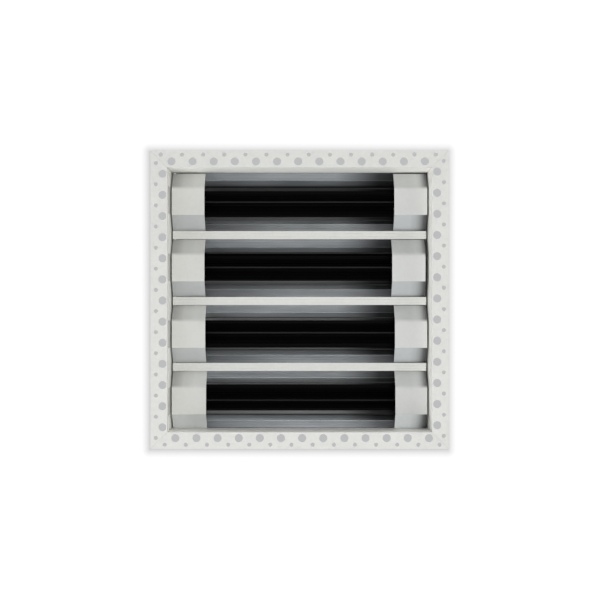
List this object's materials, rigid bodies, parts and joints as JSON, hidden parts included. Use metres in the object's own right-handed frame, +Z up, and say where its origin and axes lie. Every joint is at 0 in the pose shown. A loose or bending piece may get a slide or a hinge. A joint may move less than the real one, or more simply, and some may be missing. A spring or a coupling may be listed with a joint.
{
  "type": "ceiling air diffuser",
  "caption": "Square plaster-in linear slot ceiling diffuser with a perforated flange, white divider bars and black deflector blades that swing open.",
  "frame": {"origin": "centre of the visible face: the plane of the perforated flange's room side, z = 0, at the middle of its square outline", "axes": "+Z up into the ceiling void, so the visible face looks along -Z into the room; the slots run along X; +Y is the side that lies at the bottom of a view from below with +X to the right"},
  "size_m": [0.184, 0.184, 0.045],
  "materials": {
    "frame_white": "matte off-white powder coat on sheet steel",
    "zinc_steel": "zinc-plated",
    "plate_aluminium": "mill finish sheet",
    "bar_white": "satin white powder coat on an extrusion",
    "rail_grey": "satin grey anodised extrusion",
    "blade_black": "satin black anodised extrusion",
    "cover_white": "matte white powder coat on bent sheet",
    "screw_steel": "zinc-plated",
    "spacer_nylon": "moulded nylon"
  },
  "bodies": {
    "housing": {"frame_front": "frame_white", "frame_back": "frame_white", "frame_left": "frame_white", "frame_right": "frame_white", "corner_angle_front_left": "zinc_steel", "corner_angle_front_right": "zinc_steel", "corner_angle_back_left": "zinc_steel", "corner_angle_back_right": "zinc_steel", "corner_rivets": "zinc_steel", "end_plate_left": "plate_aluminium", "end_plate_right": "plate_aluminium", "divider_bar_1": "bar_white", "divider_bar_2": "bar_white", "divider_bar_3": "bar_white", "slot_rail_1a": "rail_grey", "slot_rail_1b": "rail_grey", "slot_rail_2a": "rail_grey", "slot_rail_2b": "rail_grey", "slot_rail_3a": "rail_grey", "slot_rail_3b": "rail_grey", "slot_rail_4a": "rail_grey", "slot_rail_4b": "rail_grey", "end_cover_1_left": "cover_white", "end_cover_2_left": "cover_white", "end_cover_3_left": "cover_white", "end_cover_4_left": "cover_white", "end_cover_1_right": "cover_white", "end_cover_2_right": "cover_white", "end_cover_3_right": "cover_white", "end_cover_4_right": "cover_white", "end_screws_left": "screw_steel", "end_screws_right": "screw_steel", "cover_screws_left": "screw_steel", "cover_screws_right": "screw_steel", "core_screws": "screw_steel", "core_spacers": "spacer_nylon"},
    "blade_1a": {"blade_1a": "blade_black"},
    "blade_1b": {"blade_1b": "blade_black"},
    "blade_2a": {"blade_2a": "blade_black"},
    "blade_2b": {"blade_2b": "blade_black"},
    "blade_3a": {"blade_3a": "blade_black"},
    "blade_3b": {"blade_3b": "blade_black"},
    "blade_4a": {"blade_4a": "blade_black"},
    "blade_4b": {"blade_4b": "blade_black"}
  },
  "joints": [
    {"name": "blade_1a_swing", "type": "hinge", "parent": "housing", "child": "blade_1a", "pos_m": [0, -0.0728, 0.0345], "axis": [-1, 0, 0], "range_deg": [0, 60]},
    {"name": "blade_1b_swing", "type": "hinge", "parent": "housing", "child": "blade_1b", "pos_m": [0, -0.0524, 0.0345], "axis": [1, 0, 0], "range_deg": [0, 60]},
    {"name": "blade_2a_swing", "type": "hinge", "parent": "housing", "child": "blade_2a", "pos_m": [0, -0.0308, 0.0345], "axis": [-1, 0, 0], "range_deg": [0, 60]},
    {"name": "blade_2b_swing", "type": "hinge", "parent": "housing", "child": "blade_2b", "pos_m": [0, -0.0104, 0.0345], "axis": [1, 0, 0], "range_deg": [0, 60]},
    {"name": "blade_3a_swing", "type": "hinge", "parent": "housing", "child": "blade_3a", "pos_m": [0, 0.0112, 0.0345], "axis": [-1, 0, 0], "range_deg": [0, 60]},
    {"name": "blade_3b_swing", "type": "hinge", "parent": "housing", "child": "blade_3b", "pos_m": [0, 0.0316, 0.0345], "axis": [1, 0, 0], "range_deg": [0, 60]},
    {"name": "blade_4a_swing", "type": "hinge", "parent": "housing", "child": "blade_4a", "pos_m": [0, 0.0532, 0.0345], "axis": [-1, 0, 0], "range_deg": [0, 60]},
    {"name": "blade_4b_swing", "type": "hinge", "parent": "housing", "child": "blade_4b", "pos_m": [0, 0.0736, 0.0345], "axis": [1, 0, 0], "range_deg": [0, 60]}
  ]
}
